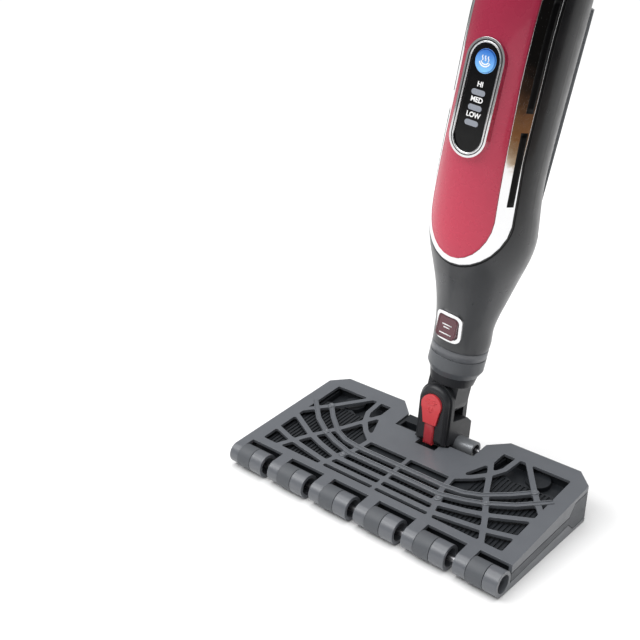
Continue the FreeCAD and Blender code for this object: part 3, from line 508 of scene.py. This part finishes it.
def head_bosses():
    """Small round bosses with a dimple, the same on both halves of the web."""
    bm = bmesh.new()
    for x, y in BOSSES:
        for side in (-1, 1):
            rings = []
            for r, z in BOSS_PROFILE:
                ring = [(side * x + r * math.cos(a), y + r * math.sin(a), z)
                        for a in [2 * math.pi * k / BOSS_STEPS for k in range(BOSS_STEPS)]]
                rings.append([bm.verts.new(p) for p in ring])
            ring_faces(bm, rings)
    piece("web_bosses", bm, ON_PLATE, "frame", "core")


head_lips()
head_bosses()


# ---- red lever ------------------------------------------------------------------------------
LEVER_Z = 40.3              # centre of the lever's round head
LEVER_FACE = -26.6
MARK_HEIGHT = 0.25
FOOT_Z = (1.8, 2.6, 12.0, 20.6, 21.4)
FOOT_HALF = 4.8
COVER_RIM_R = 13.4


def lever_marks():
    """Raised generic marks on the lever: three bars and an arrow pointing down."""
    bm = bmesh.new()
    for z, half in ((45.6, 4.6), (43.6, 6.2), (41.6, 4.0)):
        flat_strip(bm, [(-half, z), (0, z), (half, z)], LEVER_FACE, 0.7, MARK_HEIGHT)
    for side in (-1, 1):
        flat_strip(bm, [(side * 3.4, 36.4), (0, 33.2)], LEVER_FACE, 0.8, MARK_HEIGHT)
        flat_strip(bm, [(side * 1.7, 39.2), (side * 1.7, 36.2)], LEVER_FACE, 0.7, MARK_HEIGHT)
    piece("lever_marks", bm, ON_NECK, "lever", "lever")


def lever_foot():
    """The slightly sunk foot of the lever, coloured darker as painted shade, with a soft ridge down the
    middle.
    """
    bm = bmesh.new()
    rings = []
    for z in FOOT_Z:
        inset = 0.5 if z in (FOOT_Z[0], FOOT_Z[-1]) else 0.0
        half = FOOT_HALF - inset
        profile = [(-half, -25.2), (-half, -25.5 + inset * 0.3), (-half * 0.6, -25.75 + inset * 0.4),
                   (half * 0.6, -25.75 + inset * 0.4), (half, -25.5 + inset * 0.3), (half, -25.2)]
        rings.append([bm.verts.new((x, y, z)) for x, y in profile])
    ring_faces(bm, rings)
    piece("lever_foot", bm, ON_NECK, "lever_painted_shade", "lever")


def cover_rim():
    """A raised rim round the lever's keyhole in the neck cover."""
    bm = bmesh.new()
    skin = Skin(["neck_cover"], ON_NECK)
    path = [(-COVER_RIM_R, 4.0)] + arc(0, LEVER_Z, COVER_RIM_R, 180, 0, 24) + [(COVER_RIM_R, 4.0)]
    points, _ = skin.wrap(densify(path, 3.0))
    strip(bm, points, [Vector((0, -1, 0))] * len(points), 0.8, 0.35)
    piece("cover_rim", bm, ON_NECK, "neck", "neck")


lever_marks()
lever_foot()
cover_rim()


# ---- collar -----------------------------------------------------------------------------------
def turned(bm, profile, steps=64):
    """A closed ring of revolution about +Z from (radius, z) pairs."""
    rings = []
    for k in range(steps):
        a = 2 * math.pi * k / steps
        rings.append([bm.verts.new((r * math.cos(a), r * math.sin(a), z)) for r, z in profile])
    ring_faces(bm, rings, closed=True)


def collar_band():
    """The lighter band round the top of the collar."""
    bm = bmesh.new()
    turned(bm, [(25.35, 47.6), (25.9, 47.9), (25.9, 54.9), (25.5, 55.6), (25.2, 55.6), (25.2, 47.6)])
    piece("collar_band", bm, ON_BODY, "band", "swivel")


collar_band()


# ---- body: trim inlays, seams and release button ------------------------------------------------
TRIM_HALF = 39.4
TRIM_HALF_TOP = 37.5
TRIM_SHOULDER = 187.0
TRIM_TAPER = 240.0
PANEL_HALF = 30.2
PANEL_HALF_TOP = 27.0
PANEL_SHOULDER = 190.0
PANEL_TAPER = 300.0
PANEL_APEX = 150.0
TRIM_TOP = 372.0
INLAYS = ((204, 264), (279, 362))       # lower and upper end of each inlay
RELEASE_Z = 79.0


def u_path(half, half_top, apex, shoulder, taper, top, steps=28):
    """A tall U in the XZ plane that narrows above its shoulder, from upper left round to upper right."""
    path = [(-half_top, top), (-half_top, taper), (-half, shoulder)]
    for i in range(1, steps):
        t = math.pi * (1 + i / steps)
        path.append((half * math.cos(t), shoulder + (shoulder - apex) * math.sin(t)))
    return path + [(half, shoulder), (half_top, taper), (half_top, top)]


def trim_shadow():
    """A dark strip in the groove under the chrome trim: painted shadow."""
    bm = bmesh.new()
    path = u_path(TRIM_HALF + 0.7, TRIM_HALF_TOP + 0.7, PANEL_APEX - 7.4, TRIM_SHOULDER, TRIM_TAPER,
                  TRIM_TOP)
    skin_strip(bm, Skin(SHELL, ON_BODY), densify(path, 3.0), 1.4, 0.12)
    # painted shadow: a dark strip where the groove under the trim lies in shade
    piece("trim_painted_shadow", bm, ON_BODY, "slot", "body")


def trim_inner(z):
    """Half width of the line that the inlays follow."""
    rise = min(max((z - TRIM_SHOULDER) / (TRIM_TAPER - TRIM_SHOULDER), 0), 1)
    return TRIM_HALF - 2.4 + (TRIM_HALF_TOP - TRIM_HALF) * rise


def trim_slots():
    """Long black inlays near the outer edge of the trim, two on each side."""
    skin = Skin(["chrome_trim"], ON_BODY)
    bm = bmesh.new()
    for side in (-1, 1):
        for low, high in INLAYS:
            path = densify([(side * trim_inner(low), low), (side * trim_inner(high), high)], 4.0)
            skin_strip(bm, skin, path, 6.0, 0.12)
    piece("trim_inlays", bm, ON_BODY, "slot", "body")


def panel_edge():
    """A fine lighter line where the coloured panel meets the trim."""
    bm = bmesh.new()
    path = u_path(PANEL_HALF - 1.0, PANEL_HALF_TOP - 1.0, PANEL_APEX + 1.1, PANEL_SHOULDER, PANEL_TAPER,
                  TRIM_TOP - 1.0)
    skin_strip(bm, Skin(["front_panel"], ON_BODY), densify(path, 3.0), 0.7, 0.18)
    piece("panel_edge", bm, ON_BODY, "panel", "body")


def rear_seam():
    """The mould seam down the middle of the lower shell's back."""
    bm = bmesh.new()
    skin_strip(bm, Skin(SHELL, ON_BODY), densify([(0, 62), (0, 166)], 4.0), 0.7, 0.1, BACK)
    piece("shell_seam", bm, ON_BODY, "slot", "body")


def release_print():
    """Generic white bars on the release button, and a raised inner border."""
    skin = Skin(["release_button"], ON_BODY)
    bars = bmesh.new()
    for z, half in ((RELEASE_Z + 2.2, 5.0), (RELEASE_Z - 0.4, 3.2), (RELEASE_Z - 6.4, 6.0)):
        skin_strip(bars, skin, [(-half, z), (0, z), (half, z)], 1.1, 0.08)
    piece("release_bars", bars, ON_BODY, "white", "release_button")
    border = bmesh.new()
    skin_strip(border, skin, rounded_square(8.9, 9.4, RELEASE_Z, 3.2), 0.8, 0.3, closed=True)
    piece("release_border", border, ON_BODY, "maroon", "release_button")


trim_shadow()
trim_slots()
panel_edge()
rear_seam()
release_print()


# ---- control panel -------------------------------------------------------------------------------
CONTROL_FACE = -70.1
BEZEL_FACE = -71.5
BUTTON_FACE = -71.1
BUTTON_Z = 310.5
PILLS_Z = (287.0, 275.3, 263.6)
LABELS = ("HI", "MED", "LOW")
LABEL_SIZE = 5.4
LABEL_RISE = 6.0            # each word stands this far above its lamp
CONTROL_Z = 282.5
CONTROL_LIFT = 28.8         # from the panel's middle to the centre of each end arc
BUTTON_RING_R = 8.9


def label(text, z):
    """A printed word above its lamp, as a thin mesh."""
    curve = bpy.data.curves.new("label_" + text, "FONT")
    curve.body = text
    curve.align_x = "CENTER"
    curve.align_y = "CENTER"
    curve.size = LABEL_SIZE
    curve.offset = 0.16
    curve.extrude = 0.06
    curve.resolution_u = 4
    source = bpy.data.objects.new("label_source", curve)
    mesh = bpy.data.meshes.new_from_object(source)
    bpy.data.objects.remove(source)
    upright = Matrix.Translation((0, CONTROL_FACE - 0.02, z)) @ Matrix.Rotation(math.radians(90), 4, "X")
    mesh.transform(upright)
    bm = bmesh.new()
    bm.from_mesh(mesh)
    piece("label_" + text, bm, ON_BODY, "white", "body", smooth=False)


def steam_icon():
    """A generic steam mark on the button: three wavy lines over a small dish."""
    bm = bmesh.new()
    for x0 in (-2.6, 0.0, 2.6):
        path = [(x0 + 0.55 * math.sin(t * math.pi / 3), BUTTON_Z + 0.2 + t * 0.62) for t in range(7)]
        flat_strip(bm, path, BUTTON_FACE, 0.85, 0.12)
    for r, width in ((5.2, 1.0), (3.6, 0.9)):
        flat_strip(bm, arc(0, BUTTON_Z + 1.2, r, 205, 335, 14), BUTTON_FACE, width, 0.12)
    piece("steam_icon", bm, ON_BODY, "white", "steam_button")


def button_ring():
    """A thin ring round the button, let into the black panel, glowing as painted light."""
    bm = bmesh.new()
    path = arc(0, BUTTON_Z, BUTTON_RING_R, 0, 360, 48)[:-1]
    flat_strip(bm, path, CONTROL_FACE, 0.6, 0.3, closed=True)
    # painted light: the ring shares the button's glow
    piece("button_ring", bm, ON_BODY, "blue", "body")


def bezel_line(name, half_w, width, height, look):
    """A closed line that runs round the face of the control bezel."""
    bm = bmesh.new()
    flat_strip(bm, capsule(half_w, CONTROL_LIFT, CONTROL_Z), BEZEL_FACE, width, height, closed=True)
    piece(name, bm, ON_BODY, look, "body")


for text, z in zip(LABELS, PILLS_Z):
    label(text, z + LABEL_RISE)
steam_icon()
button_ring()
bezel_line("bezel_bead", 13.5, 1.1, 0.3, "chrome")
bezel_line("bezel_groove", 14.7, 0.8, 0.06, "slot")


# ---- tank, hooks and handle --------------------------------------------------------------------------
LEVEL_LINES = range(195, 340, 13)
RIDGES = 14
RIDGES_FOOT = 1022
RIDGE_PITCH = 5.0
TUBE_Y = -12                # the tube's axis


def tank_marks():
    """Raised level lines up the back of the tank, each fifth one longer."""
    skin = Skin(["water_tank"], ON_BODY)
    bm = bmesh.new()
    for i, z in enumerate(LEVEL_LINES):
        half = 9.0 if i % 5 == 0 else 5.0
        path = [(x * half / 4, z) for x in range(-4, 5)]
        skin_strip(bm, skin, path, 0.8, 0.25, BACK)
    piece("tank_marks", bm, ON_BODY, "tank", "tank")


def grip_ridges():
    """Fine ridges round the grip's back for the palm."""
    skin = Skin(["grip_rear"], ON_BODY)
    bm = bmesh.new()
    for i in range(RIDGES):
        z = RIDGES_FOOT + i * RIDGE_PITCH
        path = [(x, z) for x in range(-12, 13, 3)]
        points, normals = skin.wrap(path, BACK)
        if len(points) > 4:
            strip(bm, points, normals, 1.6, 0.35)
    piece("grip_ridges", bm, ON_BODY, "rubber", "body")


def ferrule_ring():
    """A bright ring round the ferrule at the foot of the tube."""
    bm = bmesh.new()
    turned(bm, [(19.0, 422), (19.5, 422.6), (19.5, 425.0), (19.0, 425.6), (18.6, 425.6), (18.6, 422)])
    bmesh.ops.translate(bm, vec=(0, TUBE_Y, 0), verts=bm.verts)
    piece("ferrule_ring", bm, ON_BODY, "chrome", "body")


tank_marks()
grip_ridges()
ferrule_ring()


# ---- floor, light and camera ----------------------------------------------------------------------------
def plane(name, size, centre, look_at=None):
    """A square stage plane, facing up or towards a place."""
    bm = bmesh.new()
    bmesh.ops.create_grid(bm, x_segments=8, y_segments=8, size=size / 2)
    mesh = bpy.data.meshes.new(name)
    bm.to_mesh(mesh)
    bm.free()
    obj = bpy.data.objects.new(name, mesh)
    bpy.context.scene.collection.objects.link(obj)
    obj.location = centre
    if look_at is not None:
        obj.rotation_mode = "QUATERNION"
        obj.rotation_quaternion = (Vector(look_at) - Vector(centre)).to_track_quat("Z", "Y")
    return obj


FLOOR_SIZE = 9.0
FLOOR_Z = -0.0002           # just under the part, so that the two never share a plane


def floor():
    look = Look("studio_floor", (0.93, 0.93, 0.93, 1.0), 0.75, mottle=0.01, bump=0.03, wear=0.0)
    ground = plane("studio_floor", FLOOR_SIZE, (0, 0, FLOOR_Z))
    ground.data.materials.append(look.material)


CARD_SIZE = 1.2
CARD_X = 0.75
CARD_Y = -0.15
CARD_STOPS = ((0.0, "f7f3ee"), (0.012, "cdb79c"), (0.035, "93795d"), (0.075, "7a5233"), (0.105, "6a4a33"),
              (0.125, "2c211b"), (0.17, "121110"), (0.6, "0c0b0b"))


def reflection_card():
    """A card beside the body, seen only in gloss: pale at the floor, then beige, brown and black."""
    look = Look("reflection_card", (0.0, 0.0, 0.0, 1.0), 0.9, mottle=0.0, wear=0.0, specular=0.0)
    ramp = look.add("ShaderNodeValToRGB")
    for _ in range(len(CARD_STOPS) - 2):
        ramp.color_ramp.elements.new(0.5)
    for element, (height, colour) in zip(ramp.color_ramp.elements, CARD_STOPS):
        element.position = height / CARD_STOPS[-1][0]
        element.color = linear(colour)
    foot = -CARD_SIZE / 2
    look.link(look.height_along((0, 1, 0), foot, foot + CARD_STOPS[-1][0]), ramp.inputs["Fac"])
    look.link(ramp.outputs["Color"], look.shader.inputs["Emission Color"])
    look.shader.inputs["Emission Strength"].default_value = 1.0
    middle = CARD_SIZE / 2
    sheet = plane("reflection_card", CARD_SIZE, (CARD_X, CARD_Y, middle), (0.0, CARD_Y, middle))
    sheet.data.materials.append(look.material)
    sheet.visible_camera = False
    sheet.visible_shadow = False
    sheet.visible_diffuse = False
    sheet.visible_transmission = False


def area_light(name, size, power, centre, target):
    """A rectangular light that faces its target."""
    data = bpy.data.lights.new(name, "AREA")
    data.shape = "RECTANGLE"
    data.size, data.size_y = size
    data.energy = power
    obj = bpy.data.objects.new(name, data)
    bpy.context.scene.collection.objects.link(obj)
    obj.location = centre
    obj.rotation_mode = "QUATERNION"
    obj.rotation_quaternion = (Vector(target) - Vector(centre)).to_track_quat("-Z", "Y")


WORLD_SEEN = 1.05           # the world's strength as a background
WORLD_LIGHT = 0.30          # and as light on the object
LIT_AT = (0.0, 0.0, 0.25)   # the place that the area lights face


def studio():
    """A white world, a soft sun for the shadow on the floor and two area lights."""
    world = bpy.data.worlds.new("studio")
    bpy.context.scene.world = world
    world.use_nodes = True
    tree = world.node_tree
    sky = tree.nodes["Background"]
    sky.inputs["Color"].default_value = (1.0, 1.0, 1.0, 1.0)
    path = tree.nodes.new("ShaderNodeLightPath")
    level = tree.nodes.new("ShaderNodeMapRange")
    level.inputs["To Min"].default_value = WORLD_LIGHT
    level.inputs["To Max"].default_value = WORLD_SEEN
    tree.links.new(path.outputs["Is Camera Ray"], level.inputs["Value"])
    tree.links.new(level.outputs["Result"], sky.inputs["Strength"])
    sun = bpy.data.lights.new("overhead", "SUN")
    sun.energy = 2.75
    sun.angle = math.radians(70)
    high = bpy.data.objects.new("overhead", sun)
    bpy.context.scene.collection.objects.link(high)
    high.rotation_euler = (math.radians(12), math.radians(-8), 0)
    area_light("key", (1.6, 1.2), 16.0, (-1.3, -1.5, 1.9), LIT_AT)
    area_light("rim", (1.4, 0.8), 8.0, (0.6, 1.8, 1.5), LIT_AT)
    bpy.context.scene.view_settings.view_transform = "Standard"


FOCAL = 54.9
CAMERA_AT = (0.4356, -0.6354, 0.4963)
AZIMUTH = math.radians(40.9)
ELEVATION = math.radians(23.52)
CAMERA_ROLL = math.radians(0.89)


def camera():
    """The photograph's viewpoint."""
    data = bpy.data.cameras.new("camera")
    data.lens = FOCAL
    data.sensor_width = 36.0
    data.clip_start = 0.01
    obj = bpy.data.objects.new("camera", data)
    bpy.context.scene.collection.objects.link(obj)
    ahead = Vector((-math.sin(AZIMUTH) * math.cos(ELEVATION), math.cos(AZIMUTH) * math.cos(ELEVATION),
                    -math.sin(ELEVATION)))
    level = Vector((math.cos(AZIMUTH), math.sin(AZIMUTH), 0))
    top = level.cross(ahead)
    right = level * math.cos(CAMERA_ROLL) + top * math.sin(CAMERA_ROLL)
    top = right.cross(ahead)
    pose = Matrix((right, top, -ahead)).transposed().to_4x4()
    obj.matrix_world = Matrix.Translation(CAMERA_AT) @ pose
    bpy.context.scene.camera = obj


floor()
reflection_card()
studio()
camera()
